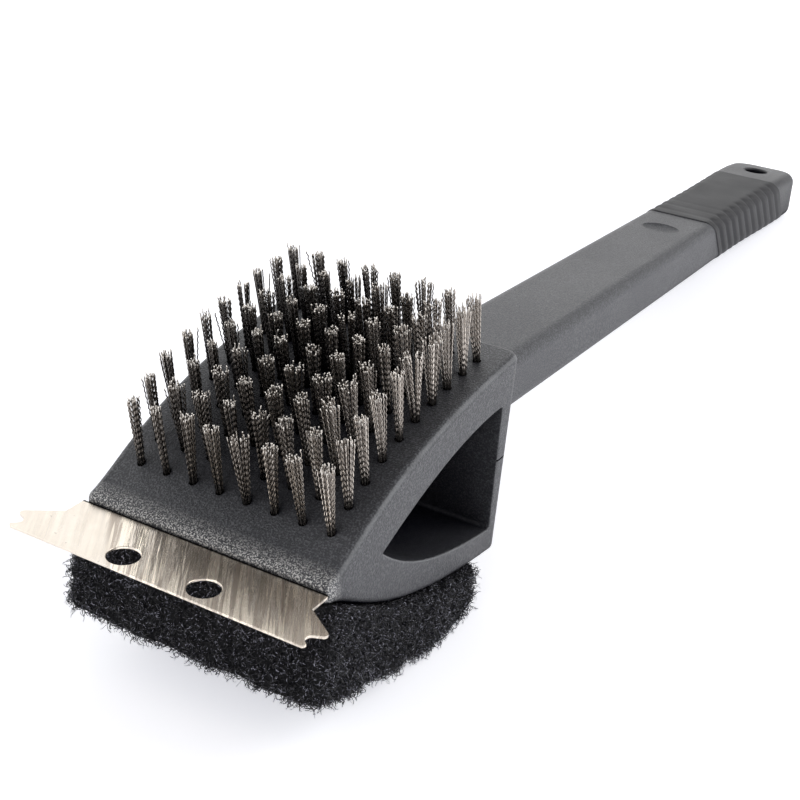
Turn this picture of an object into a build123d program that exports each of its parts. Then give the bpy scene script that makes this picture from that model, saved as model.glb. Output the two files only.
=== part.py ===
"""Grill cleaning brush: bristle head, scouring pad, scraper and a long handle with a ribbed grip.

Working frame, before the brush is laid down: X runs across the head, Y runs from the scraper's
edge to the end of the handle, and Z is square to the blade, with Z = 0 where the two mouldings
of the head meet. lay_down() then tips the brush onto its pad and the end of its handle, so that
both rest on the plane Z = 0 of the finished part, with the middle of its length at the origin.
"""
from build123d import *
import math
import os

# ---------------------------------------------------------------- driving dimensions, mm
LENGTH = 449.0              # scraper edge to handle end
REST_TILT = 3.2             # degrees the brush leans back on its pad
REST_LIFT = 46.0            # height of the scraper's edge above the table
REST_MIDDLE = 223.98        # distance from there to the middle of its length on the table

HEAD_WIDTH = 73.4
HEAD_FRONT = 20.4           # nose of the head
HEAD_REAR_TOP = 114.4       # rear wall, upper edge
HEAD_REAR_BOTTOM = 110.6    # rear wall, lower edge
HEAD_HEIGHT_LIMIT = 33.4    # height that the swelling faces tend to
SWELL_START = 21.6          # where both outer faces would meet
SWELL_LENGTH = 40.0         # how quickly they part
NOSE_LIFT = 3.5             # extra height of each half at the nose
NOSE_LIFT_LENGTH = 5.0      # how quickly that dies away
NOSE_CORNER = 2.5
REAR_CORNER = 4.0
PLATE_EDGE_ROUND = 1.8
GAP_RIM_ROUND = 0.6

GAP_TIP = 45.0              # front tip of the triangular gap
GAP_REAR = 105.7
GAP_CORNER = 1.0
SEAM_GROOVE = 0.5

BLADE_THICKNESS = 0.7
BLADE_EDGE_BREAK = 0.12
BLADE_HALF_WIDTH = 43.3
BLADE_EAR_HALF_WIDTH = 45.3
BLADE_NECK_HALF_WIDTH = 36.8
BLADE_NECK_Y = 13.4
BLADE_HOLE_X = 11.9
BLADE_HOLE_Y = 5.75
BLADE_HOLE_RADIUS = 4.2
TANG_HALF_WIDTH = 31.0
TANG_END = 41.5

SCREW_X = 24.7
SCREW_Y = 37.3
SCREW_RADIUS = 1.5
SCREW_HEAD_RADIUS = 2.9
SCREW_HEAD_HEIGHT = 1.7
SCREW_SEAT = -6.6
SCREW_TIP = 6.5

TUFT_COLUMNS = 8
TUFT_ROWS = 10
TUFT_PITCH_X = 8.23
TUFT_PITCH_Y = 8.13         # measured along the swelling face
FIRST_ROW_Y = 33.1
TUFT_LENGTH = 19.9
TUFT_LEAN = 11.9            # degrees forward
TUFT_ROOT_RADIUS = 1.15
TUFT_TIP_RADIUS = 1.75
TUFT_HOLE_DEPTH = 5.0
ANCHOR_HEIGHT = 1.4
ANCHOR_THICKNESS = 0.5

HANDLE_ROOT_Y = 106.0
HANDLE_ROOT_HALF_WIDTH = 16.4
HANDLE_NECK_Y = 326.0       # end of the even taper
HANDLE_NECK_HALF_WIDTH = 15.1
HANDLE_WAIST_Y = 372.0      # narrowest place, under the grip
HANDLE_WAIST_HALF_WIDTH = 14.7
HANDLE_BUTT_Y = 430.0       # widest place near the end
HANDLE_BUTT_HALF_WIDTH = 15.5
HANDLE_END_HALF_WIDTH = 15.0
HANDLE_THICKNESS = 18.8
HANDLE_DROP = 0.030         # fall per mm of length
HANDLE_BUTT_SWELL = 1.64    # extra depth below, at the end
SWELL_Y = 332.0             # where that swelling starts
HANDLE_DROOP = 2.0          # extra fall of the top face at the end
DROOP_Y = 424.0             # where that fall starts
HANDLE_EDGE_ROUND = 4.2
HANDLE_END_ROUND = 10.0

GRIP_FRONT_Y = 335.0
GRIP_REAR_Y = 416.0
GRIP_LEAN = 38.0            # degrees that the ribs and the band's ends lean back
GRIP_PROUD = 0.4
GRIP_DEPTH = 1.5
RIB_COUNT = 10
RIB_PITCH = 7.6
RIB_FIRST = 4.6
GROOVE_WIDTH = 2.4
GROOVE_DEPTH_SIDE = 1.1
GROOVE_DEPTH_TOP = 0.2

DENT_Y = 315.0
DENT_HALF_WIDTH = 7.4
DENT_HALF_LENGTH = 5.6
DENT_DEPTH = 1.2

HANG_HOLE_Y = 431.5
HANG_HOLE_RADIUS = 5.0
HANG_HOLE_RIM = 0.8         # rounding of its rims
GRIP_HOLE_CLEARANCE = 3.7   # plastic left round it by the grip

PAD_HALF_WIDTH = 39.2
PAD_FRONT_BOTTOM = (14.2, -28.6)
PAD_REAR_Y = 98.0
PAD_CORNER = 6.0
PAD_FLAT_FRONT = 69.0       # the pad is pressed flat where it rests
PAD_FLAT_REAR = 88.0
ADHESIVE = 0.6


def side_solid(outline, half_width):
    """Extrude a closed outline of the side view across the brush."""
    return extrude(Plane.YZ.offset(-half_width) * make_face(outline), 2 * half_width)


def plan_block(half_width, front, rear, front_round, rear_round):
    """Tall block with rounded upright corners."""
    block = Pos(0, (front + rear) / 2, 0) * Box(2 * half_width, rear - front, 160)
    upright = block.edges().filter_by(Axis.Z).sort_by(Axis.Y)
    block = fillet(upright[:2], front_round)
    upright = block.edges().filter_by(Axis.Z).sort_by(Axis.Y)
    return fillet(upright[-2:], rear_round)


def lay_down(shape):
    """Tip the brush onto the table."""
    return Pos(0, -REST_MIDDLE, REST_LIFT) * Rot(-REST_TILT, 0, 0) * shape


def table_height(y):
    """Height of the table in the working frame."""
    tilt = math.radians(REST_TILT)
    return (y * math.sin(tilt) - REST_LIFT) / math.cos(tilt)


# ---------------------------------------------------------------- head
def swell(y):
    """Distance of the head's outer faces from the middle plane."""
    wedge = HEAD_HEIGHT_LIMIT * (1 - math.exp(-(y - SWELL_START) / SWELL_LENGTH))
    return wedge + NOSE_LIFT * math.exp(-(y - HEAD_FRONT) / NOSE_LIFT_LENGTH)


def swell_curve(side, offset=0.0):
    """Outer face of the head in the side view: side is 1 for the top and -1 for the bottom."""
    rear = HEAD_REAR_TOP if side > 0 else HEAD_REAR_BOTTOM
    stations = (HEAD_FRONT, 23.5, 27, 31, 37, 44, 54, 66, 84, rear)
    return Spline(*[(y, side * (swell(y) + offset)) for y in stations])


def head_half(side):
    """One moulding of the head, before the gap and the blade's pocket are cut."""
    curve = swell_curve(side)
    rear_mid = (HEAD_REAR_TOP + HEAD_REAR_BOTTOM) / 2
    outline = curve + Polyline(curve @ 1, (rear_mid, 0), (HEAD_FRONT, 0), curve @ 0)
    body = side_solid(outline, HEAD_WIDTH / 2)

    def side_edges(solid, front, rear):
        return [
            edge for edge in solid.edges()
            if abs(edge.center().X) > HEAD_WIDTH / 2 - 0.1 and front < edge.center().Y < rear
        ]

    body = fillet(side_edges(body, HEAD_REAR_BOTTOM - 0.5, HEAD_REAR_TOP + 1), REAR_CORNER)
    body = fillet(side_edges(body, HEAD_FRONT - 1, HEAD_FRONT + 0.1), NOSE_CORNER)
    rim = [
        edge for edge in body.edges()
        if side * edge.center().Z > 1 and abs(edge.tangent_at(0.5).Z) < 0.9
    ]
    return fillet(rim, PLATE_EDGE_ROUND)


def gap_solid():
    """The triangular gap that runs right across the head."""
    upper = Spline((GAP_TIP, 0), (55.4, 4.8), (72.0, 11.0), (GAP_REAR, 16.6))
    lower = Spline((GAP_TIP, 0), (59.4, -9.4), (82.4, -17.4), (GAP_REAR - 0.8, -21.3))
    gap = side_solid(upper + lower + Line(upper @ 1, lower @ 1), HEAD_WIDTH)
    corners = gap.edges().filter_by(Axis.X).sort_by(Axis.Y)[-2:]
    return fillet(corners, GAP_CORNER)


def open_head_half(side):
    """One moulding of the head with the gap cut and its rim rounded."""
    body = head_half(side) - gap_solid()

    def on_rim(edge):
        middle = edge.center()
        inside = abs(middle.Z) < swell(middle.Y) - 4 and abs(middle.Z) > 0.1
        return abs(middle.X) > HEAD_WIDTH / 2 - 0.1 and inside and GAP_TIP < middle.Y < GAP_REAR + 0.5

    return fillet([edge for edge in body.edges() if on_rim(edge)], GAP_RIM_ROUND)


def seam_groove():
    """Shallow groove where the two mouldings meet round the rear wall."""
    rear = (HEAD_REAR_TOP + HEAD_REAR_BOTTOM) / 2
    deep = HEAD_WIDTH / 2 - SEAM_GROOVE
    ring = plan_block(HEAD_WIDTH, GAP_REAR - 4, rear + 9, 1, 1)
    ring -= plan_block(deep, GAP_REAR - 9, rear - SEAM_GROOVE, 1, REAR_CORNER - SEAM_GROOVE)
    return ring & Box(4 * HEAD_WIDTH, 4 * LENGTH, SEAM_GROOVE)


# ---------------------------------------------------------------- scraper
def scraper_outline():
    """Right half of the scraper's plan, from the middle of its edge to the neck."""
    tip = (BLADE_HALF_WIDTH - 0.9, 0)
    corner = (BLADE_HALF_WIDTH, 1.3)
    bite_low = (BLADE_HALF_WIDTH - 0.9, 2.0)
    bite_deep = (BLADE_HALF_WIDTH - 1.5, 3.4)
    bite_high = (BLADE_HALF_WIDTH - 0.7, 4.9)
    ear_low = (BLADE_EAR_HALF_WIDTH - 0.5, 5.9)
    ear_tip = (BLADE_EAR_HALF_WIDTH, 6.9)
    ear_high = (BLADE_EAR_HALF_WIDTH - 0.7, 7.9)
    neck = (BLADE_NECK_HALF_WIDTH, BLADE_NECK_Y)
    return (
        Line((0, 0), tip) + ThreePointArc(tip, (BLADE_HALF_WIDTH - 0.15, 0.5), corner)
        + Line(corner, bite_low) + ThreePointArc(bite_low, bite_deep, bite_high)
        + Line(bite_high, ear_low) + ThreePointArc(ear_low, ear_tip, ear_high)
        + Line(ear_high, neck)
    )


def scraper_blade():
    """Flat scraper with its tang, its front edge and holes lightly broken."""
    half = scraper_outline()
    half += Polyline(
        half @ 1, (BLADE_NECK_HALF_WIDTH, HEAD_FRONT), (TANG_HALF_WIDTH, HEAD_FRONT),
        (TANG_HALF_WIDTH, TANG_END), (0, TANG_END), (0, 0),
    )
    plate = extrude(make_face(half), BLADE_THICKNESS)
    plate += mirror(plate, about=Plane.YZ)
    for x in (-BLADE_HOLE_X, BLADE_HOLE_X):
        plate -= Pos(x, BLADE_HOLE_Y, 0) * Cylinder(BLADE_HOLE_RADIUS, 6)
    front_edges = plate.edges().filter_by(Axis.X).group_by(Axis.Y)[0]
    hole_rims = plate.edges().filter_by(GeomType.CIRCLE).filter_by(
        lambda edge: abs(edge.radius - BLADE_HOLE_RADIUS) < 0.01)
    plate = chamfer(front_edges + hole_rims, BLADE_EDGE_BREAK)
    for x in (-SCREW_X, SCREW_X):
        plate -= Pos(x, SCREW_Y, 0) * Cylinder(SCREW_RADIUS + 0.2, 6)
    return plate


def tang_pocket():
    front = HEAD_FRONT - 1
    pocket = Rectangle(2 * TANG_HALF_WIDTH, TANG_END - front)
    return extrude(Pos(0, (front + TANG_END) / 2) * pocket, BLADE_THICKNESS)


def clamp_screw(x, grow=0.0):
    """Pan-head screw, driven up from under the pad; grow gives its clearance hole."""
    seat = SCREW_SEAT
    shank_length = SCREW_TIP - seat
    shank = Pos(x, SCREW_Y, seat + shank_length / 2) * Cylinder(SCREW_RADIUS + grow, shank_length)
    head = Pos(x, SCREW_Y, seat - SCREW_HEAD_HEIGHT / 2) * Cylinder(
        SCREW_HEAD_RADIUS + grow, SCREW_HEAD_HEIGHT)
    return shank + head


def cross_recess(x):
    """Cross-shaped drive recess in a screw's head."""
    depth = SCREW_HEAD_HEIGHT * 0.6
    low = SCREW_SEAT - SCREW_HEAD_HEIGHT + depth / 2
    bar = Box(3.0, 0.7, depth) + Box(0.7, 3.0, depth)
    return Pos(x, SCREW_Y, low) * bar


def counterbore(x):
    """Well under a screw's head, open at the carrier's lower face."""
    height = 12.0
    return Pos(x, SCREW_Y, SCREW_SEAT - height / 2) * Cylinder(SCREW_HEAD_RADIUS + 0.2, height)


# ---------------------------------------------------------------- bristles
def row_frames():
    """Frame of the middle of each row: origin on the bristle plate, Z along the tufts."""
    frames = []
    y = FIRST_ROW_Y
    for _ in range(TUFT_ROWS):
        frames.append(Pos(0, y, swell(y)) * Rot(TUFT_LEAN, 0, 0))
        slope = (swell(y + TUFT_PITCH_Y) - swell(y)) / TUFT_PITCH_Y
        y += TUFT_PITCH_Y / math.hypot(1, slope)
    return frames


def column_positions():
    middle = (TUFT_COLUMNS - 1) / 2
    return [TUFT_PITCH_X * (column - middle) for column in range(TUFT_COLUMNS)]


def tuft():
    """Wire tuft: straight root in the hole, flaring bundle above."""
    straight = 1.5
    bottom = ANCHOR_HEIGHT - TUFT_HOLE_DEPTH
    root = Pos(0, 0, (straight + bottom) / 2) * Cylinder(TUFT_ROOT_RADIUS, straight - bottom)
    flare = TUFT_LENGTH - straight
    return root + Pos(0, 0, straight + flare / 2) * Cone(TUFT_ROOT_RADIUS, TUFT_TIP_RADIUS, flare)


def tuft_anchor():
    """Flat wire anchor at the bottom of a tuft's hole."""
    width = 2 * TUFT_ROOT_RADIUS - 0.1
    return Pos(0, 0, ANCHOR_HEIGHT / 2 - TUFT_HOLE_DEPTH) * Box(width, ANCHOR_THICKNESS, ANCHOR_HEIGHT)


def tuft_hole():
    return Pos(0, 0, 3 - TUFT_HOLE_DEPTH / 2) * Cylinder(TUFT_ROOT_RADIUS, TUFT_HOLE_DEPTH + 6)


def row_of(piece, frame):
    """Eight copies of one piece across a row."""
    return [frame * Pos(x, 0, 0) * piece for x in column_positions()]


# ---------------------------------------------------------------- handle
def handle_drop(y):
    """Height of the handle's centre line."""
    return -HANDLE_DROP * (y - HANDLE_ROOT_Y)


def handle_top(y):
    return handle_drop(y) + HANDLE_THICKNESS / 2


def handle_side(face_grow):
    """Side view of the handle: a falling bar that swells below and droops above at its end."""
    half = HANDLE_THICKNESS / 2 + face_grow
    end = LENGTH
    high_mid = (DROOP_Y, handle_drop(DROOP_Y) + half)
    high_end = (end, handle_drop(end) + half - HANDLE_DROOP)
    low_mid = (SWELL_Y, handle_drop(SWELL_Y) - half)
    low_end = (end, handle_drop(end) - half - HANDLE_BUTT_SWELL)
    run = (1, -HANDLE_DROP)
    droop = (1, -HANDLE_DROP - 2 * HANDLE_DROOP / (LENGTH - DROOP_Y))
    return (
        Line((HANDLE_ROOT_Y, half), high_mid)
        + Spline(high_mid, high_end, tangents=[run, droop])
        + Line((HANDLE_ROOT_Y, half), (HANDLE_ROOT_Y, -half))
        + Line((HANDLE_ROOT_Y, -half), low_mid)
        + Spline(low_mid, low_end, tangents=[run, run])
        + Line(low_end, high_end)
    )


def handle_plan(side_grow):
    """Right-hand edge of the handle seen from above, from its root to its end."""
    root = (HANDLE_ROOT_HALF_WIDTH + side_grow, HANDLE_ROOT_Y)
    neck = (HANDLE_NECK_HALF_WIDTH + side_grow, HANDLE_NECK_Y)
    waist = (HANDLE_WAIST_HALF_WIDTH + side_grow, HANDLE_WAIST_Y)
    butt = (HANDLE_BUTT_HALF_WIDTH + side_grow, HANDLE_BUTT_Y)
    end = (HANDLE_END_HALF_WIDTH + side_grow, LENGTH)
    taper = (neck[0] - root[0], neck[1] - root[1])
    closing = (end[0] - butt[0], (end[1] - butt[1]) / 2)
    return Line(root, neck) + Spline(neck, waist, butt, end, tangents=[taper, closing])


def handle_blank(side_grow=0.0, face_grow=0.0):
    """The handle's outer form, optionally grown at its sides and at its faces."""
    edge = handle_plan(side_grow)
    half = edge + Polyline(edge @ 1, (0, LENGTH), (0, HANDLE_ROOT_Y), edge @ 0)
    prism = extrude(make_face(half), 60.0, both=True)
    prism += mirror(prism, about=Plane.YZ)
    prism = fillet(prism.edges().filter_by(Axis.Z).sort_by(Axis.Y)[-2:], HANDLE_END_ROUND)
    blank = side_solid(handle_side(face_grow), 2 * HANDLE_ROOT_HALF_WIDTH) & prism
    long_edges = [
        edge for edge in blank.edges()
        if edge.center().Y > HANDLE_ROOT_Y + 1 and abs(edge.tangent_at(0.5).Z) < 0.5
    ]
    return fillet(long_edges, HANDLE_EDGE_ROUND)


def leaning_slab(front, rear):
    """Slice between two leaning planes that meet the handle's top face at front and rear."""
    def on_plane(y, rise):
        lean = math.tan(math.radians(GRIP_LEAN))
        return y - lean * rise, handle_top(y) + rise

    above, below = 12.0, -40.0
    outline = Polyline(
        on_plane(front, above),
        on_plane(rear, above),
        on_plane(rear, below),
        on_plane(front, below),
        on_plane(front, above),
    )
    return side_solid(outline, 60.0)


def grip_band():
    """Space of the grip: a leaning slice that stays clear of the hanging hole."""
    collar = Pos(0, HANG_HOLE_Y, 0) * Cylinder(HANG_HOLE_RADIUS + GRIP_HOLE_CLEARANCE, 90)
    return leaning_slab(GRIP_FRONT_Y, GRIP_REAR_Y) - collar


def grip_sleeve():
    """Soft band round the handle, with ribs that are deep at the sides and faint on top."""
    band = grip_band()
    sleeve = (handle_blank(GRIP_PROUD, GRIP_PROUD) & band) - handle_blank(-GRIP_DEPTH, -GRIP_DEPTH)
    floor = handle_blank(GRIP_PROUD - GROOVE_DEPTH_SIDE, GRIP_PROUD - GROOVE_DEPTH_TOP)
    for rib in range(RIB_COUNT):
        front = GRIP_FRONT_Y + RIB_FIRST + rib * RIB_PITCH
        sleeve -= leaning_slab(front, front + GROOVE_WIDTH) - floor
    return sleeve


def handle():
    """Handle with its core under the grip, thumb dent and hanging hole."""
    band = grip_band()
    body = (handle_blank() - band) + (handle_blank(-GRIP_DEPTH, -GRIP_DEPTH) & band)
    dent = scale(Sphere(1), by=(DENT_HALF_WIDTH, DENT_HALF_LENGTH, DENT_DEPTH))
    body -= Pos(0, DENT_Y, handle_top(DENT_Y)) * dent
    body -= Pos(0, HANG_HOLE_Y, 0) * Cylinder(HANG_HOLE_RADIUS, 90)
    circumference = 2 * math.pi * HANG_HOLE_RADIUS
    rims = [edge for edge in body.edges() if abs(edge.length - circumference) < 0.5]
    return fillet(rims, HANG_HOLE_RIM)


# ---------------------------------------------------------------- mouldings
def upper_body():
    body = open_head_half(1) - tang_pocket() - seam_groove()
    for frame in row_frames():
        for hole in row_of(tuft_hole(), frame):
            body -= hole
    for x in (-SCREW_X, SCREW_X):
        body -= clamp_screw(x)
    return body + handle()


def pad_carrier():
    body = open_head_half(-1) - seam_groove() - handle_blank()
    for x in (-SCREW_X, SCREW_X):
        body -= clamp_screw(x, 0.2) + counterbore(x)
    return body


# ---------------------------------------------------------------- pad
def glued_zone():
    """Everything between the middle plane and the lower face of the glue."""
    curve = swell_curve(-1, ADHESIVE)
    outline = curve + Polyline(curve @ 1, (HEAD_REAR_BOTTOM, 5), (HEAD_FRONT, 5), curve @ 0)
    return side_solid(outline, 60.0)


def pad_adhesive():
    zone = glued_zone() & plan_block(33.0, 25.0, PAD_REAR_Y - 1.5, 4, 3)
    bottom_half = Pos(0, 0, -30) * Box(200, 1000, 60)
    sheet = (zone & bottom_half) - head_half(-1)
    for x in (-SCREW_X, SCREW_X):
        sheet -= counterbore(x)
    return sheet


def scouring_pad():
    front_low = PAD_FRONT_BOTTOM
    front_high = (HEAD_FRONT + 0.8, -1.5)
    outline = Polyline(
        front_low, front_high, (PAD_REAR_Y, -1.5), (PAD_REAR_Y, -35.5), (PAD_REAR_Y - 3.5, -39.2),
        (PAD_FLAT_REAR, table_height(PAD_FLAT_REAR)), (PAD_FLAT_FRONT, table_height(PAD_FLAT_FRONT)),
        front_low,
    )
    pad = side_solid(outline, PAD_HALF_WIDTH) & plan_block(
        PAD_HALF_WIDTH, front_low[0] - 0.1, PAD_REAR_Y + 0.1, PAD_CORNER, PAD_CORNER)
    return pad - glued_zone()


# ---------------------------------------------------------------- write the parts
def write(node, shape):
    placed = lay_down(shape)
    placed.label = node
    export_step(placed, f"parts/{node}.step")


os.makedirs("parts", exist_ok=True)
write("upper_body", upper_body())
write("pad_carrier", pad_carrier())
write("grip_sleeve", grip_sleeve())
write("scraper_blade", scraper_blade())
write("clamp_screws", Compound(children=[clamp_screw(x) - cross_recess(x) for x in (-SCREW_X, SCREW_X)]))
write("scouring_pad", scouring_pad())
write("pad_adhesive", pad_adhesive())
for number, frame in enumerate(row_frames(), 1):
    write(f"tuft_row_{number:02d}", Compound(children=row_of(tuft(), frame)))
    write(f"tuft_anchors_{number:02d}", Compound(children=row_of(tuft_anchor(), frame)))
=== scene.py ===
"""Looks of the grill cleaning brush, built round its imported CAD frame.

Pieces are shaped in the brush's own working frame, in millimetres: X across the head, Y from the
scraper's edge to the end of the handle, Z square to the scraper. lay_down() turns that frame into
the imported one, in which the brush rests on its pad and the end of its handle.
"""

import math

import bpy
import numpy as np
from mathutils import Matrix, Vector, noise


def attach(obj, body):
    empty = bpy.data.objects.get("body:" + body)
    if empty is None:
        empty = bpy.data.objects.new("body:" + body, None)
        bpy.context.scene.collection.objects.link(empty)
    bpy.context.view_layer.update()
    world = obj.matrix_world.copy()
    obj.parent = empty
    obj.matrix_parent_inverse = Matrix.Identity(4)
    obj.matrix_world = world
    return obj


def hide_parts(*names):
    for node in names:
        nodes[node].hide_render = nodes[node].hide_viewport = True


# ---------------------------------------------------------------- driving sizes
# Millimetres and degrees for the brush; metres for the light, the camera and the floor.
REST_TILT = 3.2
REST_LIFT = 46.0
REST_MIDDLE = 223.98

HEAD_HALF_WIDTH = 36.7
HEAD_FRONT = 20.4
HEAD_REAR = 111.0
HEAD_HEIGHT_LIMIT = 33.4
SWELL_START = 21.6
SWELL_LENGTH = 40.0
NOSE_LIFT = 3.5
NOSE_LIFT_LENGTH = 5.0

TUFT_LEAN = 8.7             # forward, on the laid down brush
WIRES_PER_TUFT = 25
WIRE_RADIUS = 0.16
WIRE_POINTS = 84
WIRE_SIDES = 4
ROOT_SPREAD = 0.78
TIP_SPREAD = 1.75
TIP_SCATTER = 0.20
TUFT_SCATTER = 0.35
FAN_POWER = 1.15            # above 1, wires fan out mostly near their tips
STRAY_SHARE = 0.03
STRAY_SCATTER = 1.9
CRIMP_PITCH = 1.75
CRIMP_HEIGHT = 0.12
CRIMP_START = 0.14          # straight share of a wire above its root
CRIMP_PEAK = 0.11           # third harmonic, which sharpens each bend
PAINTED_SHADE_FULL = 0.92             # share of painted shade on the tufts at the left
PAINTED_SHADE_TUFTS = 4.5             # tufts from the right end to where it is full
PAINTED_SHADE_EASED_IN_FRONT = 0.25
BRISTLE_SEED = 100          # of the first row, and one more for each row behind it

FIBRE_COUNT = 28000
FIBRE_RADIUS = 0.085
FIBRE_POINTS = 12
FIBRE_SIDES = 3
FIBRE_STEP = 0.36
FIBRE_TIP = 0.6             # thickness left at the end
FIBRES_PER_PIECE = 2700
FIBRE_SUNK = 0.35           # where a fibre starts, below the pad's surface
FIBRE_LEVEL = (1.4, 0.26)   # gamma shape and scale of the height that it keeps to
FIBRE_PULL = 0.22           # back to that height, at each step
CURL_START = 0.9
CURL_CHANGE = 0.42
CURL_KEPT = 0.86            # from one step to the next
PAD_SEED = 7

PAD_SHRINK = 0.55
PAD_LUMPS = ((9.0, 0.75), (3.2, 0.40))      # size and height
SAG_DRAWN = 2.4             # drawn in, at the top of the left side
SAG_BULGE = 1.3             # and swelling out below
SAG_TOP_SHARE = 0.35
SAG_START_X = 32.0
SAG_FADE = 8.0

HANDLE_ROOT_Y = 106.0
HANDLE_NECK_Y = 326.0
HANDLE_WAIST_Y = 372.0
HANDLE_BUTT_Y = 430.0
HANDLE_END_Y = 449.0
HANDLE_NECK_HALF_WIDTH = 15.1
HANDLE_WAIST_HALF_WIDTH = 14.7
HANDLE_BUTT_HALF_WIDTH = 15.5
HANDLE_HALF_THICKNESS = 9.4
HANDLE_DROP = 0.030
HANDLE_BUTT_SWELL = 1.64
SWELL_Y = 332.0

GRIP_FRONT_Y = 335.0
GRIP_REAR_Y = 416.0
GRIP_LEAN = 38.0
GRIP_PROUD = 0.4
GRIP_DEPTH = 1.4
GRIP_EDGE_ROUND = 4.6
GRIP_LIP = 0.35             # how far its two ends are drawn in
GRIP_LIP_WIDTH = 0.6
GRIP_STEPS = 360
RIB_COUNT = 10
RIB_PITCH = 7.6
RIB_FIRST = 5.8
RIB_DEPTH_SIDE = 1.1
RIB_DEPTH_TOP = 0.10        # of the first ribs only
RIB_SHARPNESS = 2.2
RIB_FADE = 0.55             # share of the depth lost by the last rib
HANG_HOLE_Y = 431.5
COLLAR_RADIUS = 9.0         # plastic left round the hanging hole

DARKER_END_Y = 401.0           # the plastic is darker behind this
WEAR_AND_SHEEN_EDGE = (1.0, 0.85, -13.0)      # slanting line across the scraper, behind which it is worn and carries painted reflection streaks
ROLLING_TURN = -32.0        # of the scraper's rolling lines

WALL_TOP = 0.60             # sine of the elevation where the white walls end
CEILING_EDGE = 0.86         # and where the ceiling's own tone begins
WALL_LIGHT = 1.6
CEILING_LIGHT = 0.16
# Where the tent is open or patched: direction, cosines where the shade starts and is full, and
# what is left of the light there.
DARK_PATCHES = (
    ((0.80, -0.60, 0.0), 0.55, 0.95, 0.40),
    ((0.46, 0.79, 0.40), 0.78, 0.95, 0.30),
)
FLOOR_GLOW = 0.48
FLOOR_HALF = 40.0
KEY_POWER = 5.5
KEY_PLACE = (0.80, 0.53, 0.70)
KEY_AIM = (0.0, -0.16, 0.05)
KEY_SIZE = (0.7, 0.7)

CAMERA_PLACE = (0.19304, -0.44877, 0.25461)
CAMERA_AIM = (0.00146, -0.11239, 0.04548)
CAMERA_ROLL = 2.5
CAMERA_LENS = 69.1
SENSOR_WIDTH = 36.0         # millimetres, as is the lens

MM = 0.001

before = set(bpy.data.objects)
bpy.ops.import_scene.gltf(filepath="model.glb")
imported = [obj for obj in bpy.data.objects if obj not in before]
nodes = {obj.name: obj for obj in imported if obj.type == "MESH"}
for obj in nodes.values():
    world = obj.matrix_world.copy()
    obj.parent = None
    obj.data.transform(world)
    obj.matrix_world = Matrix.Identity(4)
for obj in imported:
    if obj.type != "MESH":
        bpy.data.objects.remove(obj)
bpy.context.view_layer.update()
rows = sorted(name for name in nodes if name.startswith("tuft_row_"))

lay_down = (
    Matrix.Translation((0, -REST_MIDDLE * MM, REST_LIFT * MM))
    @ Matrix.Rotation(math.radians(-REST_TILT), 4, "X")
    @ Matrix.Diagonal((MM, MM, MM, 1))
)


# ---------------------------------------------------------------- geometry helpers
def transform(points, matrix):
    """points, an array whose last axis is x, y, z, moved by a 4x4 matrix."""
    m = np.array(matrix)
    return points @ m[:3, :3].T + m[:3, 3]


def to_frame(points):
    return transform(points, lay_down)


def to_work(points):
    return transform(points, lay_down.inverted())


def unit(vectors):
    return vectors / np.maximum(np.linalg.norm(vectors, axis=-1, keepdims=True), 1e-12)


def mesh_points(mesh):
    points = np.empty(len(mesh.vertices) * 3)
    mesh.vertices.foreach_get("co", points)
    return points.reshape(-1, 3)


def add_object(name, mesh):
    obj = bpy.data.objects.new(name, mesh)
    bpy.context.scene.collection.objects.link(obj)
    return obj


def build_mesh(name, points, faces, flat_from=None):
    """Mesh from points and a list of face arrays; faces past flat_from aren't smoothed."""
    mesh = bpy.data.meshes.new(name)
    corners = np.concatenate([part.ravel() for part in faces]).astype(np.int32)
    sizes = np.concatenate([np.full(len(part), part.shape[1]) for part in faces])
    starts = np.concatenate([[0], np.cumsum(sizes)[:-1]]).astype(np.int32)
    smooth = np.ones(len(sizes), bool)
    if flat_from is not None:
        smooth[flat_from:] = False
    mesh.vertices.add(len(points))
    mesh.vertices.foreach_set("co", points.astype(np.float32).ravel())
    mesh.loops.add(len(corners))
    mesh.loops.foreach_set("vertex_index", corners)
    mesh.polygons.add(len(sizes))
    mesh.polygons.foreach_set("loop_start", starts)
    mesh.polygons.foreach_set("use_smooth", smooth)
    mesh.update(calc_edges=True)
    mesh.validate()
    return mesh


def set_attribute(mesh, name, values):
    attribute = mesh.attributes.new(name, "FLOAT", "POINT")
    attribute.data.foreach_set("value", values.astype(np.float32).ravel())


def side_vectors(forward):
    """A vector square to each path at each of its points, carried along without twist."""
    odd_direction = (0.31, 0.52, 0.80)
    sides = np.empty_like(forward)
    sides[:, 0] = unit(np.cross(forward[:, 0], odd_direction))
    for i in range(1, forward.shape[1]):
        along = forward[:, i]
        carried = sides[:, i - 1]
        lean = np.sum(carried * along, axis=-1, keepdims=True)
        sides[:, i] = unit(carried - lean * along)
    return sides


def tubes(name, paths, radii, sides):
    """One mesh of closed round tubes along paths (tube, point, xyz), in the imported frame."""
    count, points = paths.shape[:2]
    forward = unit(np.gradient(paths, axis=1))
    a = side_vectors(forward)
    b = np.cross(forward, a)
    turn = np.arange(sides) * 2 * math.pi / sides
    ring = np.cos(turn)[:, None] * a[:, :, None] + np.sin(turn)[:, None] * b[:, :, None]
    skin = paths[:, :, None] + ring * np.broadcast_to(radii, (count, points))[..., None, None]

    index = np.arange(count * points * sides).reshape(count, points, sides)
    after = np.roll(index, -1, axis=2)
    walls = np.stack((index[:, :-1], after[:, :-1], after[:, 1:], index[:, 1:]), axis=-1)
    walls = walls.reshape(-1, 4)
    caps = np.concatenate((index[:, 0, ::-1], index[:, -1]))
    return build_mesh(name, skin.reshape(-1, 3), [walls, caps], flat_from=len(walls))


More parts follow.
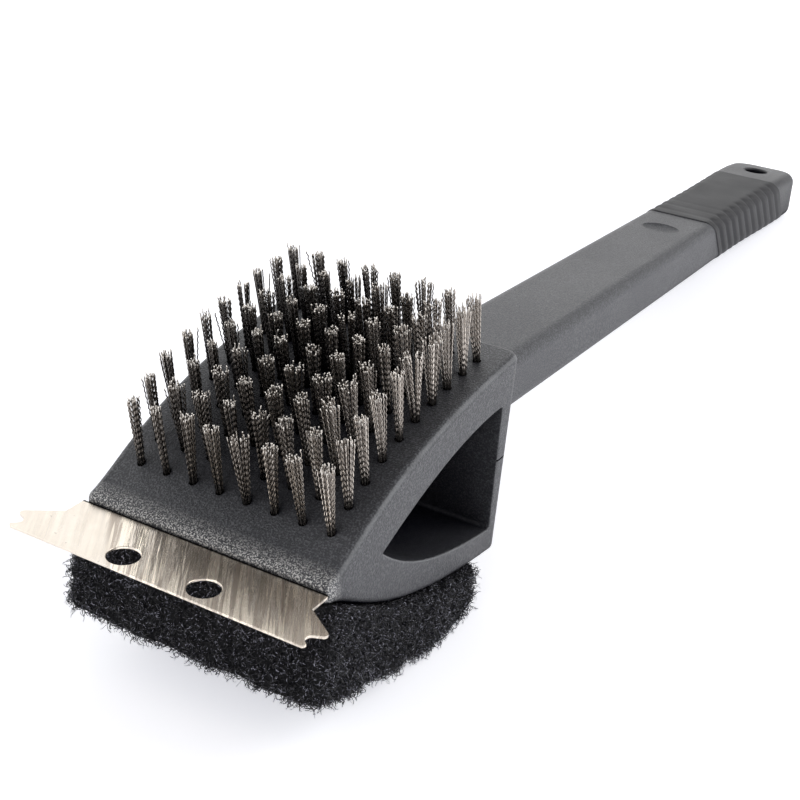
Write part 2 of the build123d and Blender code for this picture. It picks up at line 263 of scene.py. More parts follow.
def finish_piece(obj, material, slot, *replaced):
    """Gives a piece its material and its body, and hides the CAD nodes it stands for; slot is not
    used.
    """
    obj.data.materials.clear()
    obj.data.materials.append(material)
    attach(obj, "root")
    if replaced:
        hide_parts(*replaced)
    return obj


def swell(y):
    """Half height of the head at y."""
    wedge = HEAD_HEIGHT_LIMIT * (1 - np.exp(-(y - SWELL_START) / SWELL_LENGTH))
    return wedge + NOSE_LIFT * np.exp(-(y - HEAD_FRONT) / NOSE_LIFT_LENGTH)


# ---------------------------------------------------------------- material helper
class Shader:
    """Builds one node material: each method adds a node and returns the socket that it makes."""

    def __init__(self, name):
        self.material = bpy.data.materials.new(name)
        self.material.use_nodes = True
        self.tree = self.material.node_tree
        self.surface = self.tree.nodes["Principled BSDF"]

    def put(self, socket, value):
        if isinstance(value, bpy.types.NodeSocket):
            self.tree.links.new(value, socket)
        elif isinstance(value, tuple) and len(value) == 3 and socket.type == "RGBA":
            socket.default_value = (*value, 1)
        else:
            socket.default_value = value

    def node(self, kind, **inputs):
        made = self.tree.nodes.new(kind)
        for name, value in inputs.items():
            self.put(made.inputs[name.replace("_", " ")], value)
        return made

    def place(self, stretch=(1, 1, 1), turn=0.0):
        """Object coordinates in millimetres, turned about Z and stretched."""
        coordinates = self.tree.nodes.new("ShaderNodeTexCoord").outputs["Object"]
        turned = self.node("ShaderNodeMapping", Vector=coordinates)
        turned.inputs["Rotation"].default_value = (0, 0, math.radians(turn))
        turned.inputs["Scale"].default_value = (1 / MM, 1 / MM, 1 / MM)
        scaled = self.node("ShaderNodeMapping", Vector=turned.outputs["Vector"])
        scaled.inputs["Scale"].default_value = stretch
        return scaled.outputs["Vector"]

    def noise(self, size, detail=2.0, rough=0.5, vector=None):
        """Noise from 0 to 1 whose blobs are about size millimetres."""
        made = self.node(
            "ShaderNodeTexNoise", Vector=vector or self.place(),
            Scale=1.0 / size, Detail=detail, Roughness=rough,
        )
        return made.outputs["Fac"]

    def distance(self, x, y, start):
        """How far past a line across the plan a point lies; x, y and start are in millimetres."""
        shifted = self.node("ShaderNodeVectorMath", Vector=self.place())
        shifted.operation = "DOT_PRODUCT"
        shifted.inputs[1].default_value = (x, y, 0)
        return self.math("SUBTRACT", shifted.outputs["Value"], start - REST_MIDDLE * y)

    def corner(self, low, high):
        """1 on rounded edges beside the faces that look along X, 0 on flat faces."""
        normal = self.tree.nodes.new("ShaderNodeTexCoord").outputs["Normal"]
        parts = self.node("ShaderNodeSeparateXYZ", Vector=normal)
        sideways = self.math("ABSOLUTE", parts.outputs["X"])
        rising = self.span(sideways, low, low + 0.2)
        return self.math("MULTIPLY", rising, self.span(sideways, high, high + 0.1, 1.0, 0.0))

    def openness(self, reach):
        """From 0 deep in a hollow to 1 on an open face, judged over reach millimetres."""
        made = self.node("ShaderNodeAmbientOcclusion", Distance=reach * MM)
        made.samples = 6
        return made.outputs["AO"]

    def attribute(self, name):
        made = self.tree.nodes.new("ShaderNodeAttribute")
        made.attribute_name = name
        return made.outputs["Fac"]

    def span(self, value, low, high, to_low=0.0, to_high=1.0):
        """Maps low..high of value to to_low..to_high, held at the ends."""
        made = self.tree.nodes.new("ShaderNodeMapRange")
        self.put(made.inputs["Value"], value)
        self.put(made.inputs["From Min"], low)
        self.put(made.inputs["From Max"], high)
        self.put(made.inputs["To Min"], to_low)
        self.put(made.inputs["To Max"], to_high)
        return made.outputs["Result"]

    def math(self, operation, a, b=0.0):
        made = self.tree.nodes.new("ShaderNodeMath")
        made.operation = operation
        self.put(made.inputs[0], a)
        self.put(made.inputs[1], b)
        return made.outputs[0]

    def mix(self, share, first, second):
        made = self.tree.nodes.new("ShaderNodeMix")
        made.data_type = "RGBA"
        self.put(made.inputs["Factor"], share)
        self.put(made.inputs["A"], first)
        self.put(made.inputs["B"], second)
        return made.outputs["Result"]

    def bump(self, height, depth, before=None):
        """Bump of depth millimetres, over an earlier bump."""
        made = self.tree.nodes.new("ShaderNodeBump")
        self.put(made.inputs["Height"], height)
        made.inputs["Distance"].default_value = depth * MM
        if before is not None:
            self.put(made.inputs["Normal"], before)
        return made.outputs["Normal"]

    def finish(self, **inputs):
        for name, value in inputs.items():
            self.put(self.surface.inputs[name.replace("_", " ")], value)
        return self.material


# ---------------------------------------------------------------- materials
def moulded_plastic():
    """Charcoal moulding with a coarse spark-eroded grain, a haze and a few faint scuffs.

    The head's rounded edges carry a painted pale highlight, its nose carries painted glints and the
    end of the handle is darker.
    """
    s = Shader("moulded_plastic")
    grain = s.noise(0.50, detail=2.0, rough=0.55)
    fine = s.noise(0.21, detail=2.0, rough=0.6)
    haze = s.noise(26.0, detail=3.0)
    scuffs = s.noise(1.4, detail=5.0, rough=0.7, vector=s.place(stretch=(1, 0.10, 1), turn=24.0))
    scuff = s.span(scuffs, 0.70, 0.80)
    base = s.mix(s.span(haze, 0.3, 0.7), (0.029, 0.030, 0.035), (0.039, 0.040, 0.046))
    speck = s.span(grain, 0.47, 0.63)
    base = s.mix(s.math("MULTIPLY", speck, 0.60), base, (0.138, 0.141, 0.153))
    on_head = s.span(s.distance(0, 1, HEAD_REAR + 2.0), 0.0, 2.0, 1.0, 0.0)
    # painted highlight along the head's rounded side edges, patchy along their length
    painted_edge_highlight = s.math("MULTIPLY", s.corner(0.45, 0.88), on_head)
    painted_edge_highlight = s.math("MULTIPLY", painted_edge_highlight, s.span(s.noise(9.0, detail=4.0), 0.3, 0.6, 0.2, 0.6))
    base = s.mix(painted_edge_highlight, base, (0.205, 0.21, 0.22))
    behind_nose = s.distance(0, 1, HEAD_FRONT + 0.5)
    nose = s.math(
        "MULTIPLY", s.span(behind_nose, 0.5, 5.5, 0.95, 0.0), s.span(behind_nose, -2.0, -1.8),
    )
    # painted glints in the grain along the nose's lip
    painted_glint = s.span(s.noise(0.38, detail=1.0), 0.50, 0.60)
    base = s.mix(s.math("MULTIPLY", painted_glint, nose), base, (0.58, 0.57, 0.56))
    base = s.mix(s.math("MULTIPLY", scuff, 0.5), base, (0.17, 0.17, 0.175))
    # darker towards the end of the handle
    darker_end = s.span(s.distance(0, 1, DARKER_END_Y), 0.0, 14.0, 0.0, 0.60)
    base = s.mix(darker_end, base, (0.016, 0.016, 0.019))
    shade = s.span(s.openness(45.0), 0.34, 0.84)
    shade = s.math("MULTIPLY", shade, s.span(s.openness(1.2), 0.45, 0.8))
    base = s.mix(shade, (0.003, 0.003, 0.006), base)
    gloss = s.math("MULTIPLY", s.span(shade, 0.0, 0.6), 0.45)
    rough = s.span(haze, 0.25, 0.75, 0.38, 0.48)
    normal = s.bump(fine, 0.04)
    normal = s.bump(grain, 0.28, normal)
    return s.finish(Base_Color=base, Roughness=rough, Normal=normal, Specular_IOR_Level=gloss)


def grip_rubber():
    """Soft matt rubber with a slightly cloudy tone."""
    s = Shader("grip_rubber")
    grain = s.noise(0.30, detail=3.0, rough=0.6)
    cloud = s.noise(14.0, detail=3.0)
    base = s.mix(s.span(cloud, 0.3, 0.7), (0.016, 0.016, 0.019), (0.023, 0.023, 0.026))
    normal = s.bump(grain, 0.035)
    rough = s.span(cloud, 0.3, 0.7, 0.54, 0.64)
    return s.finish(Base_Color=base, Roughness=rough, Normal=normal, Specular_IOR_Level=0.45)


def scraper_steel():
    """Warm stainless strip: rolling lines that smear its reflections, stains and tiny pits.

    The lines begin at a slanting edge; in front of it the steel is clean. The dark lines are partly
    rolling marks and partly painted reflection; the bright lines are painted highlight streaks.
    """
    s = Shader("scraper_steel")

    def lines(size, thinness, detail=2.0):
        place = s.place(stretch=(1, thinness, 1), turn=ROLLING_TURN)
        return s.noise(size, detail=detail, rough=0.6, vector=place)

    bands = lines(1.7, 0.014, detail=3.0)
    threads = lines(0.50, 0.012)
    streaks = lines(1.5, 0.010)
    cloud = s.noise(9.0, detail=4.0, rough=0.65)
    pits = s.noise(0.9, detail=1.0)
    behind_edge = s.distance(*WEAR_AND_SHEEN_EDGE)
    wear_and_sheen = s.span(behind_edge, 0.0, 2.5)
    fading = s.span(behind_edge, 10.0, 60.0, 0.75, 0.45)
    # dark bands: rolling marks, partly painted reflection
    dark = s.math("MULTIPLY", s.span(bands, 0.45, 0.55), wear_and_sheen)
    thread = s.math("MULTIPLY", s.span(threads, 0.48, 0.58), wear_and_sheen)
    # bright streaks: painted highlight
    painted_highlight_streaks = s.math("MULTIPLY", s.span(streaks, 0.53, 0.58), wear_and_sheen)
    painted_shadow_under_head = s.span(s.distance(0, 1, HEAD_FRONT), -0.7, -0.4)
    base = s.mix(s.span(cloud, 0.35, 0.70), (0.78, 0.715, 0.635), (0.73, 0.66, 0.575))
    base = s.mix(s.math("MULTIPLY", dark, fading), base, (0.42, 0.355, 0.30))
    base = s.mix(s.math("MULTIPLY", thread, 0.40), base, (0.54, 0.46, 0.38))
    base = s.mix(s.math("MULTIPLY", painted_highlight_streaks, 0.85), base, (1.0, 0.91, 0.78))
    base = s.mix(s.span(pits, 0.73, 0.78, 0.0, 0.5), base, (0.30, 0.26, 0.21))
    # painted shadow: near black where the blade runs under the head's front edge
    base = s.mix(painted_shadow_under_head, base, (0.02, 0.018, 0.016))
    rough = s.span(bands, 0.3, 0.7, 0.22, 0.30)
    normal = s.bump(threads, 0.004)
    normal = s.bump(s.math("MULTIPLY", bands, wear_and_sheen), 0.16, normal)
    along = s.node("ShaderNodeCombineXYZ", X=-0.53, Y=0.85)
    return s.finish(
        Base_Color=base, Metallic=1.0, Roughness=rough, Normal=normal,
        Anisotropic=0.85, Tangent=along.outputs[0],
    )


def zinc_steel():
    s = Shader("zinc_steel")
    cloud = s.noise(1.5, detail=4.0)
    base = s.mix(s.span(cloud, 0.35, 0.65), (0.42, 0.42, 0.43), (0.58, 0.58, 0.57))
    rough = s.span(cloud, 0.3, 0.7, 0.28, 0.42)
    return s.finish(Base_Color=base, Metallic=1.0, Roughness=rough, Normal=s.bump(cloud, 0.02))


def bristle_wire():
    """Crimped steel wire: each wire has its own tone, with painted shade towards its root and a
    painted highlight at its tip.
    """
    s = Shader("bristle_wire")
    tone = s.attribute("tone")
    rise = s.attribute("rise")
    patch = s.noise(1.2, detail=3.0)
    base = s.mix(tone, (0.22, 0.195, 0.175), (0.86, 0.79, 0.72))
    base = s.mix(s.span(patch, 0.5, 0.75, 0.0, 0.5), base, (0.16, 0.13, 0.11))
    # painted shade over the tufts to the left, eased in the front rows and near the tips
    base = s.mix(s.attribute("painted_shade"), base, (0.035, 0.032, 0.034))
    # painted shade at the wires' roots
    base = s.mix(s.span(rise, 0.0, 0.40, 0.96, 0.0), base, (0.012, 0.012, 0.014))
    # painted highlight at the cut tips
    base = s.mix(s.span(rise, 0.955, 0.985, 0.0, 0.65), base, (0.92, 0.88, 0.83))
    rough = s.span(patch, 0.3, 0.7, 0.20, 0.32)
    return s.finish(Base_Color=base, Metallic=1.0, Roughness=rough)


def anchor_wire():
    s = Shader("anchor_wire")
    patch = s.noise(0.6, detail=2.0)
    base = s.mix(patch, (0.45, 0.43, 0.40), (0.62, 0.60, 0.57))
    return s.finish(Base_Color=base, Metallic=1.0, Roughness=0.35)


def pad_felt():
    """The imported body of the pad, seen between its fibres."""
    s = Shader("pad_felt")
    tangle = s.noise(0.55, detail=4.0, rough=0.75)
    base = s.mix(s.span(tangle, 0.45, 0.7), (0.003, 0.003, 0.004), (0.013, 0.013, 0.016))
    normal = s.bump(tangle, 0.45)
    return s.finish(Base_Color=base, Roughness=0.8, Normal=normal, Specular_IOR_Level=0.2)


def pad_fibre():
    """Black nylon fibre with a cool gloss; pale painted glints in short stretches of some fibres."""
    s = Shader("pad_fibre")
    tone = s.span(s.attribute("tone"), 0.45, 0.95)
    # pale specks along some fibres are painted glints
    painted_glint = s.span(s.noise(0.65, detail=1.0), 0.52, 0.60)
    base = s.mix(s.math("MULTIPLY", tone, painted_glint), (0.001, 0.001, 0.004), (0.38, 0.38, 0.46))
    return s.finish(Base_Color=base, Roughness=0.26, Specular_IOR_Level=0.6)


def glue_film():
    s = Shader("glue_film")
    cloud = s.noise(2.0, detail=3.0)
    base = s.mix(cloud, (0.10, 0.085, 0.06), (0.17, 0.145, 0.10))
    return s.finish(Base_Color=base, Roughness=0.4, Normal=s.bump(cloud, 0.1))


def pale_floor():
    """White sweep, faintly lit from within so that shadows on it stay pale."""
    s = Shader("pale_floor")
    fine = s.noise(40.0, detail=2.0)
    base = s.mix(fine, (0.90, 0.90, 0.90), (0.92, 0.92, 0.92))
    return s.finish(
        Base_Color=base, Roughness=0.7, Specular_IOR_Level=0.2,
        Emission_Color=(0.97, 0.98, 1.06), Emission_Strength=FLOOR_GLOW,
    )


# ---------------------------------------------------------------- bristles
def tuft_ends(node):
    """Root and tip of each tuft in a CAD row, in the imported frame, from -X to +X."""
    gap, end_height = 2 * MM, 0.3 * MM
    points = mesh_points(nodes[node].data)
    points = points[np.argsort(points[:, 0])]
    breaks = np.nonzero(np.diff(points[:, 0]) > gap)[0] + 1
    lean = math.radians(TUFT_LEAN)
    along = np.array((0.0, -math.sin(lean), math.cos(lean)))
    ends = []
    for tuft in np.split(points, breaks):
        height = tuft @ along
        root = tuft[height < height.min() + end_height].mean(axis=0)
        tip = tuft[height > height.max() - end_height].mean(axis=0)
        ends.append((root, tip))
    return ends


def sunflower(count, rng):
    """Points spread evenly over a disc of radius 1."""
    order = np.arange(count)
    reach = np.sqrt((order + 0.5) / count)
    turn = order * math.pi * (3 - math.sqrt(5)) + rng.uniform(0, 2 * math.pi)
    return np.stack((reach * np.cos(turn), reach * np.sin(turn)), axis=-1)


def tuft_paths(root, tip, splay, rng):
    """Paths of one tuft's wires: they fan out from the root, and each is crimped in a plane."""
    length = np.linalg.norm(tip - root) / MM
    axis = unit(tip - root)
    across = unit(np.cross(axis, (1.0, 0.0, 0.0)))
    side = np.cross(across, axis)

    disc = sunflower(WIRES_PER_TUFT, rng)
    spread = TIP_SPREAD * splay * rng.uniform(0.8, 1.15)
    parting = rng.uniform(0, 2 * math.pi)
    parting = np.array((math.cos(parting), math.sin(parting)))
    parted = np.sign(disc @ parting)[:, None] * parting * rng.choice((0.0, 0.15, 0.45))
    top = disc * spread + parted + rng.normal(0, TIP_SCATTER, disc.shape)
    top += rng.normal(0, TUFT_SCATTER, 2)
    strays = rng.random(WIRES_PER_TUFT) < STRAY_SHARE
    top[strays] += rng.normal(0, STRAY_SCATTER, (strays.sum(), 2))

    t = np.linspace(0, 1, WIRE_POINTS)
    bend = (t ** FAN_POWER)[None, :, None]
    lateral = disc[:, None] * ROOT_SPREAD * (1 - bend) + top[:, None] * bend

    plane = rng.uniform(0, math.pi) + rng.normal(0, 0.35, WIRES_PER_TUFT)
    phase = rng.uniform(0, 2 * math.pi)
    phase = phase + math.pi * rng.integers(0, 2, WIRES_PER_TUFT)
    phase = phase + rng.normal(0, 0.6, WIRES_PER_TUFT)
    reach = length + rng.normal(-0.1, 0.45, WIRES_PER_TUFT)
    along = t[None] * reach[:, None]
    angle = 2 * math.pi * along / CRIMP_PITCH + phase[:, None]
    wave = np.sin(angle) - CRIMP_PEAK * np.sin(3 * angle)
    height = CRIMP_HEIGHT * rng.uniform(0.8, 1.15, WIRES_PER_TUFT)
    wave *= height[:, None] * np.clip((t[None] - CRIMP_START) / CRIMP_START, 0.0, 1.0)
    lateral[..., 0] += wave * np.cos(plane)[:, None]
    lateral[..., 1] += wave * np.sin(plane)[:, None]

    offset = lateral[..., :1] * side + lateral[..., 1:] * across
    return root + MM * (along[..., None] * axis + offset)


def bristle_row(row, material):
    """Crimped wires for one CAD row of tufts; the painted shade on them thins to the right."""
    number = rows.index(row)
    rng = np.random.default_rng(BRISTLE_SEED + number)
    ends = tuft_ends(row)
    splays = np.linspace(0.85, 1.25, len(ends))
    paths = np.concatenate([
        tuft_paths(root, tip, splay, rng) for (root, tip), splay in zip(ends, splays)
    ])
    name = row.replace("tuft_row", "bristles_row")
    mesh = tubes(name, paths, WIRE_RADIUS * MM, WIRE_SIDES)
    count = len(paths)
    ring = WIRE_POINTS * WIRE_SIDES
    set_attribute(mesh, "tone", np.repeat(rng.random(count), ring))
    rise = np.repeat(np.linspace(0, 1, WIRE_POINTS), WIRE_SIDES)
    set_attribute(mesh, "rise", np.tile(rise, count))
    column = np.repeat(np.arange(len(ends)), WIRES_PER_TUFT)
    # painted shade, full at the left and none on the tufts at the right end
    painted_shade = np.clip((column.max() - column) / PAINTED_SHADE_TUFTS, 0.0, 1.0) ** 0.7 * PAINTED_SHADE_FULL
    painted_shade = np.clip(painted_shade - PAINTED_SHADE_EASED_IN_FRONT / (1 + number), 0.0, 1.0)
    set_attribute(mesh, "painted_shade", np.repeat(painted_shade, ring) * (1 - 0.75 * np.tile(rise, count) ** 6))
    return finish_piece(add_object(name, mesh), material, "bristle_wire", row)


# ---------------------------------------------------------------- scouring pad
def under_carrier(points, margin):
    """Which working-frame points lie below the moulding, at least margin inside its outline."""
    inside = np.abs(points[:, 0]) < HEAD_HALF_WIDTH - margin
    return inside & (points[:, 1] > HEAD_FRONT + margin) & (points[:, 1] < HEAD_REAR - margin)


def lumps(points, size):
    """Smooth noise from -1 to 1 at each point, in blobs of about size millimetres."""
    return np.array([noise.noise(Vector(p) / size) for p in points])


def left_side_sag(placed):
    """How far the pad's left side is drawn in at its top, and bulges below, in millimetres."""
    top = placed[:, 2].max()
    depth = 1 - placed[:, 2] / top
    drawn = SAG_DRAWN * np.clip(1 - depth / SAG_TOP_SHARE, 0.0, 1.0)
    bulge = SAG_BULGE * np.sin(math.pi * np.clip(depth, 0.0, 1.0))
    on_left = np.clip((-placed[:, 0] / MM - SAG_START_X) / SAG_FADE, 0.0, 1.0)
    return (drawn - bulge) * on_left


def pad_body(material):
    """The pad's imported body: the CAD solid remeshed, shrunk, made lumpy and sagging at the left."""
    work = add_object("pad_work", nodes["scouring_pad"].data.copy())
    remesh = work.modifiers.new("remesh", "REMESH")
    remesh.mode = "VOXEL"
    remesh.voxel_size = 1.0 * MM
    smooth = work.modifiers.new("smooth", "SMOOTH")
    smooth.factor = 0.5
    smooth.iterations = 4
    bpy.context.view_layer.update()
    graph = bpy.context.evaluated_depsgraph_get()
    mesh = bpy.data.meshes.new_from_object(work.evaluated_get(graph))
    bpy.data.objects.remove(work)
    mesh.name = "scouring_pad_body"

    points = to_work(mesh_points(mesh))
    normals = np.empty(len(points) * 3)
    mesh.vertices.foreach_get("normal", normals)
    normals = normals.reshape(-1, 3)
    (coarse, high), (fine, low) = PAD_LUMPS
    move = -PAD_SHRINK + high * lumps(points, coarse) + low * lumps(points + 50.0, fine)
    glued = under_carrier(points, 0.0) & (normals[:, 2] > 0.5)
    move[glued] = -0.15
    points += normals * move[:, None]
    placed = to_frame(points)
    placed[:, 0] += MM * left_side_sag(placed)
    placed[:, 2] = np.maximum(placed[:, 2], 0.0)
    mesh.vertices.foreach_set("co", placed.astype(np.float32).ravel())
    mesh.polygons.foreach_set("use_smooth", np.ones(len(mesh.polygons), bool))
    mesh.update()
    piece = add_object("scouring_pad_body", mesh)
    finish_piece(piece, material, "pad_fibre", "scouring_pad")
    return piece


def surface_samples(mesh, count, rng):
    """Random working-frame points and normals on the open faces of the pad's body."""
    mesh.calc_loop_triangles()
    corners = np.empty(len(mesh.loop_triangles) * 3, np.int32)
    mesh.loop_triangles.foreach_get("vertices", corners)
    triangles = to_work(mesh_points(mesh))[corners.reshape(-1, 3)]
    cross = np.cross(triangles[:, 1] - triangles[:, 0], triangles[:, 2] - triangles[:, 0])
    area = np.linalg.norm(cross, axis=1) / 2
    normals = unit(cross)
    middle = triangles.mean(axis=1)
    weight = area.copy()
    weight[under_carrier(middle, 1.5) & (normals[:, 2] > 0.5)] = 0.0
    weight[normals[:, 2] < -0.9] *= 0.7
    chosen = rng.choice(len(area), count, p=weight / weight.sum())
    share = rng.random((count, 2))
    share = np.where(share.sum(axis=1, keepdims=True) > 1, 1 - share, share)
    picked = triangles[chosen]
    points = picked[:, 0] + share[:, :1] * (picked[:, 1] - picked[:, 0])
    points = points + share[:, 1:] * (picked[:, 2] - picked[:, 0])
    return points, normals[chosen]


def fibre_paths(points, normals, rng):
    """Curly fibres that wander over the pad's surface, some looping well clear of it."""
    count = len(points)
    heading = unit(rng.normal(size=(count, 3)))
    heading = unit(heading - 0.7 * np.sum(heading * normals, axis=1, keepdims=True) * normals)
    curl = rng.normal(0, CURL_START, (count, 3))
    level = rng.gamma(*FIBRE_LEVEL, count)
    place = points - FIBRE_SUNK * normals
    path = np.empty((count, FIBRE_POINTS, 3))
    for step in range(FIBRE_POINTS):
        path[:, step] = place
        curl = CURL_KEPT * curl + rng.normal(0, CURL_CHANGE, (count, 3))
        heading = heading + np.cross(curl, heading) * FIBRE_STEP
        height = np.sum((place - points) * normals, axis=1)
        pull = np.clip(level - height, -1.5, 1.5)
        heading = unit(heading + FIBRE_PULL * pull[:, None] * normals)
        place = place + heading * FIBRE_STEP
    return path


def hold_fibres(path):
    """Keeps fibres below the moulding and above the table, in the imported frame."""
    x, y = np.abs(path[..., 0]), path[..., 1]
    beneath = (x < HEAD_HALF_WIDTH + 0.3) & (y < HEAD_REAR + 0.3)
    ceiling = -swell(np.maximum(y, HEAD_FRONT)) + np.where(beneath, -0.35, -0.1)
    ceiling = np.where(y < HEAD_FRONT - 0.3, -0.5, ceiling)
    path[..., 2] = np.minimum(path[..., 2], ceiling)
    placed = to_frame(path)
    placed[..., 2] = np.maximum(placed[..., 2], 1.3 * FIBRE_RADIUS * MM)
    return placed


def pad_fibres(body, material):
    """Loose fibres over the pad's body, in pieces that follow one another along Y."""
    rng = np.random.default_rng(PAD_SEED)
    points, normals = surface_samples(body.data, FIBRE_COUNT, rng)
    order = np.argsort(points[:, 1])
    points, normals = points[order], normals[order]
    paths = hold_fibres(fibre_paths(points, normals, rng))
    taper = np.ones(FIBRE_POINTS)
    taper[-1] = FIBRE_TIP
    for number, first in enumerate(range(0, FIBRE_COUNT, FIBRES_PER_PIECE), 1):
        part = paths[first:first + FIBRES_PER_PIECE]
        thick = FIBRE_RADIUS * MM * rng.uniform(0.75, 1.25, (len(part), 1)) * taper
        name = f"pad_fibres_{number:02d}"
        mesh = tubes(name, part, thick, FIBRE_SIDES)
        set_attribute(mesh, "tone", np.repeat(rng.random(len(part)), FIBRE_POINTS * FIBRE_SIDES))
        piece = finish_piece(add_object(name, mesh), material, "pad_fibre")


# ---------------------------------------------------------------- grip
def handle_top(y):
    return HANDLE_HALF_THICKNESS - HANDLE_DROP * (y - HANDLE_ROOT_Y)


def handle_bottom(y):
    t = np.clip((y - SWELL_Y) / (HANDLE_END_Y - SWELL_Y), 0.0, 1.0)
    swelling = HANDLE_BUTT_SWELL * t * t * (3 - 2 * t)
    return handle_top(y) - 2 * HANDLE_HALF_THICKNESS - swelling


def handle_half_width(y):
    taper = (y - HANDLE_NECK_Y) / (HANDLE_WAIST_Y - HANDLE_NECK_Y)
    narrowing = np.clip(taper, 0.0, 1.0) * (HANDLE_WAIST_HALF_WIDTH - HANDLE_NECK_HALF_WIDTH)
    t = np.clip((y - HANDLE_WAIST_Y) / (HANDLE_BUTT_Y - HANDLE_WAIST_Y), 0.0, 1.0)
    flare = (HANDLE_BUTT_HALF_WIDTH - HANDLE_WAIST_HALF_WIDTH) * t * t * (3 - 2 * t)
    return HANDLE_NECK_HALF_WIDTH + narrowing + flare


def section(arc, straight):
    """Once round the handle: place of the corner centre, -1 to 1, and outward normal."""
    corners = np.array(((1, 1), (-1, 1), (-1, -1), (1, -1)), float)
    centres, angles = [], []
    for number, corner in enumerate(corners):
        after = corners[(number + 1) % 4]
        start = number * math.pi / 2
        for angle in np.linspace(start, start + math.pi / 2, arc):
            centres.append(corner)
            angles.append(angle)
        for share in np.linspace(0, 1, straight + 2)[1:-1]:
            centres.append(corner + (after - corner) * share)
            angles.append(start + math.pi / 2)
    angles = np.array(angles)
    normals = np.stack((np.cos(angles), np.zeros(len(angles)), np.sin(angles)), axis=-1)
    return np.array(centres), normals


def grip_surface(station, centres, normals):
    """Points of the handle's skin on the leaning planes that meet its top face at station."""
    lean = math.tan(math.radians(GRIP_LEAN))
    y = station
    for _ in range(4):
        middle = (handle_top(y) + handle_bottom(y)) / 2
        half_height = (handle_top(y) - handle_bottom(y)) / 2
        x = centres[:, 0] * (handle_half_width(y) - GRIP_EDGE_ROUND)
        x = x + normals[:, 0] * GRIP_EDGE_ROUND
        z = middle + centres[:, 1] * (half_height - GRIP_EDGE_ROUND)
        z = z + normals[:, 2] * GRIP_EDGE_ROUND
        y = station - lean * (z - handle_top(station))
    return np.stack((x, y, z), axis=-1)


def grip_stations(steps, centres, normals):
    """Stations of the grip's grid: its rear edge bends forward round the hanging hole."""
    rear = np.full(len(centres), GRIP_REAR_Y)
    edge = grip_surface(rear[None], centres, normals)[0]
    reach = np.sqrt(np.maximum(COLLAR_RADIUS ** 2 - edge[:, 0] ** 2, 0.0))
    over = np.where(reach > 0, edge[:, 1] - (HANG_HOLE_Y - reach), 0.0)
    rear = rear - np.maximum(over, 0.0)
    return GRIP_FRONT_Y + np.linspace(0, 1, steps)[:, None] * (rear - GRIP_FRONT_Y)[None]


def rib_depth(station, normals):
    """Depth of the grooves: full at the sides, fading over the top and towards the rear."""
    side = np.clip(np.abs(normals[:, 0]) * 1.30, 0.0, 1.0) ** 1.3
    place = (station - GRIP_FRONT_Y - RIB_FIRST) / RIB_PITCH
    within = (place > -0.5) & (place < RIB_COUNT - 0.5)
    wave = 0.5 + 0.5 * np.cos(2 * math.pi * place)
    groove = np.where(within, wave ** RIB_SHARPNESS, 0.0)
    top = RIB_DEPTH_TOP * np.clip(2.6 - place, 0.0, 1.0)
    fade = 1.0 - RIB_FADE * np.clip(place / RIB_COUNT, 0.0, 1.0)
    return groove * (top + (RIB_DEPTH_SIDE * fade - top) * side[None])


def grip(material):
    """Soft band round the handle with rounded ribs, cut clear of the hanging hole."""
    centres, normals = section(arc=10, straight=18)
    station = grip_stations(GRIP_STEPS, centres, normals)
    skin = grip_surface(station, centres, normals)
    edge = np.minimum(station - station[:1], station[-1:] - station)
    lip = GRIP_LIP * (1 - np.clip(edge / GRIP_LIP_WIDTH, 0.0, 1.0)) ** 2
    grown = GRIP_PROUD - rib_depth(station, normals) - lip
    outer = skin + normals[None] * grown[..., None]
    inner = skin - normals[None] * GRIP_DEPTH

    count, around = outer.shape[:2]
    index = np.arange(count * around).reshape(count, around)
    after = np.roll(index, -1, axis=1)
    hidden = count * around
    cover = np.stack((index[:-1], index[1:], after[1:], after[:-1]), axis=-1).reshape(-1, 4)
    lining = cover[:, ::-1] + hidden
    front = np.stack((index[0], after[0], after[0] + hidden, index[0] + hidden), axis=-1)
    rear = np.stack((index[-1], index[-1] + hidden, after[-1] + hidden, after[-1]), axis=-1)
    points = to_frame(np.concatenate((outer.reshape(-1, 3), inner.reshape(-1, 3))))
    mesh = build_mesh("grip", points, [cover, lining, front, rear], flat_from=2 * len(cover))
    piece = add_object("grip", mesh)
    return finish_piece(piece, material, "grip_rubber", "grip_sleeve")


# ---------------------------------------------------------------- stage
def lay_floor():
    corners = np.array(((-1, -1, 0), (1, -1, 0), (1, 1, 0), (-1, 1, 0))) * FLOOR_HALF
    floor = add_object("floor", build_mesh("floor", corners, [np.array([[0, 1, 2, 3]])]))
    floor.data.materials.append(pale_floor())


def facing(place, aim):
    """Matrix that stands a light or a camera at place and turns it towards aim."""
    turn = (Vector(aim) - Vector(place)).to_track_quat("-Z", "Y").to_matrix().to_4x4()
    return Matrix.Translation(place) @ turn


def key_light():
    light = bpy.data.lights.new("key", "AREA")
    light.shape = "RECTANGLE"
    light.size, light.size_y = KEY_SIZE
    light.energy = KEY_POWER
    add_object("key", light).matrix_world = facing(KEY_PLACE, KEY_AIM)


def smooth_ramp(tree, value, low, high, at_low, at_high):
    """Maps low..high of value to at_low..at_high, eased and held at both ends."""
    made = tree.nodes.new("ShaderNodeMapRange")
    made.interpolation_type = "SMOOTHSTEP"
    tree.links.new(value, made.inputs["Value"])
    made.inputs["From Min"].default_value = low
    made.inputs["From Max"].default_value = high
    made.inputs["To Min"].default_value = at_low
    made.inputs["To Max"].default_value = at_high
    return made.outputs["Result"]


def combine(tree, operation, first, second):
    made = tree.nodes.new("ShaderNodeMath")
    made.operation = operation
    tree.links.new(first, made.inputs[0])
    tree.links.new(second, made.inputs[1])
    return made.outputs[0]


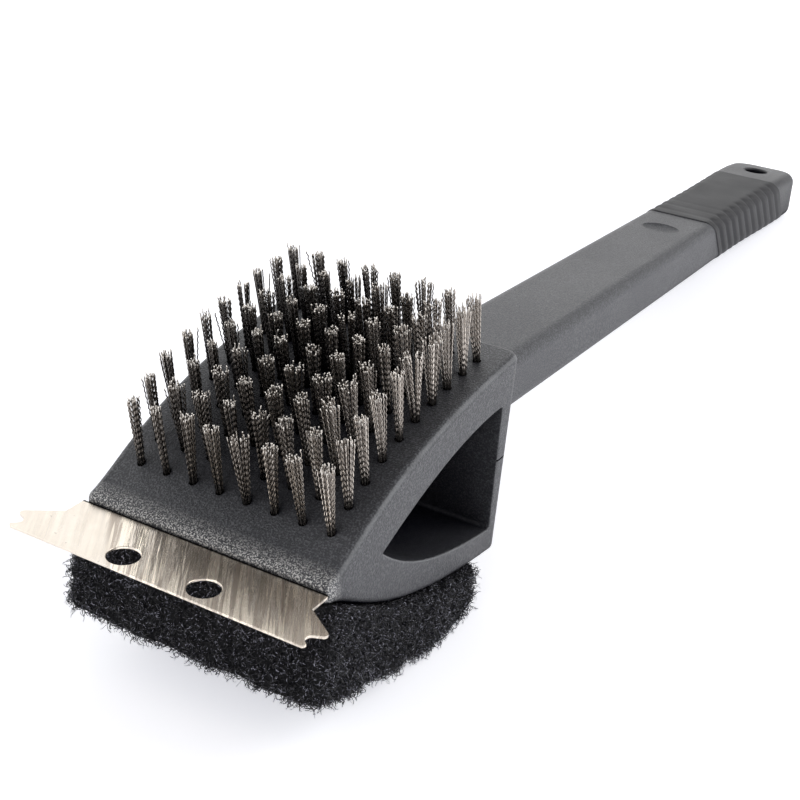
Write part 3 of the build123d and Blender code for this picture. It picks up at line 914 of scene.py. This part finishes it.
def surroundings():
    """White walls up to WALL_TOP, shaded over the dark patches, under a dark ceiling.

    All of it is plain white where the camera sees it, past the edge of the floor.
    """
    world = bpy.data.worlds.new("studio")
    world.use_nodes = True
    tree = world.node_tree
    place = tree.nodes.new("ShaderNodeTexCoord").outputs["Generated"]
    parts = tree.nodes.new("ShaderNodeSeparateXYZ")
    tree.links.new(place, parts.inputs[0])
    light = smooth_ramp(
        tree, parts.outputs["Z"], WALL_TOP, CEILING_EDGE, WALL_LIGHT, CEILING_LIGHT,
    )
    for direction, low, high, left in DARK_PATCHES:
        towards = tree.nodes.new("ShaderNodeVectorMath")
        towards.operation = "DOT_PRODUCT"
        tree.links.new(place, towards.inputs[0])
        towards.inputs[1].default_value = direction
        shade = smooth_ramp(tree, towards.outputs["Value"], low, high, 1.0, left)
        light = combine(tree, "MULTIPLY", light, shade)
    seen = tree.nodes.new("ShaderNodeLightPath").outputs["Is Camera Ray"]
    background = tree.nodes["Background"]
    background.inputs["Color"].default_value = (1, 1, 1, 1)
    tree.links.new(combine(tree, "MAXIMUM", light, seen), background.inputs["Strength"])
    bpy.context.scene.world = world


def set_camera():
    """Camera low over the scraper's right corner, looking along the brush."""
    camera = bpy.data.cameras.new("camera")
    camera.sensor_width = SENSOR_WIDTH
    camera.lens = CAMERA_LENS
    obj = add_object("camera", camera)
    roll = Matrix.Rotation(math.radians(CAMERA_ROLL), 4, "Z")
    obj.matrix_world = facing(CAMERA_PLACE, CAMERA_AIM) @ roll
    bpy.context.scene.camera = obj


# ---------------------------------------------------------------- put together
def paint(node, material):
    materials = nodes[node].data.materials
    materials.clear()
    materials.append(material)


plastic = moulded_plastic()
paint("upper_body", plastic)
paint("pad_carrier", plastic)
paint("scraper_blade", scraper_steel())
paint("clamp_screws", zinc_steel())
paint("pad_adhesive", glue_film())
staple = anchor_wire()
for node in nodes:
    if node.startswith("tuft_anchors_"):
        paint(node, staple)

wire = bristle_wire()
for row in rows:
    bristle_row(row, wire)

body = pad_body(pad_felt())
pad_fibres(body, pad_fibre())
grip(grip_rubber())

lay_floor()
surroundings()
key_light()
set_camera()
bpy.context.scene.view_settings.view_transform = "Standard"
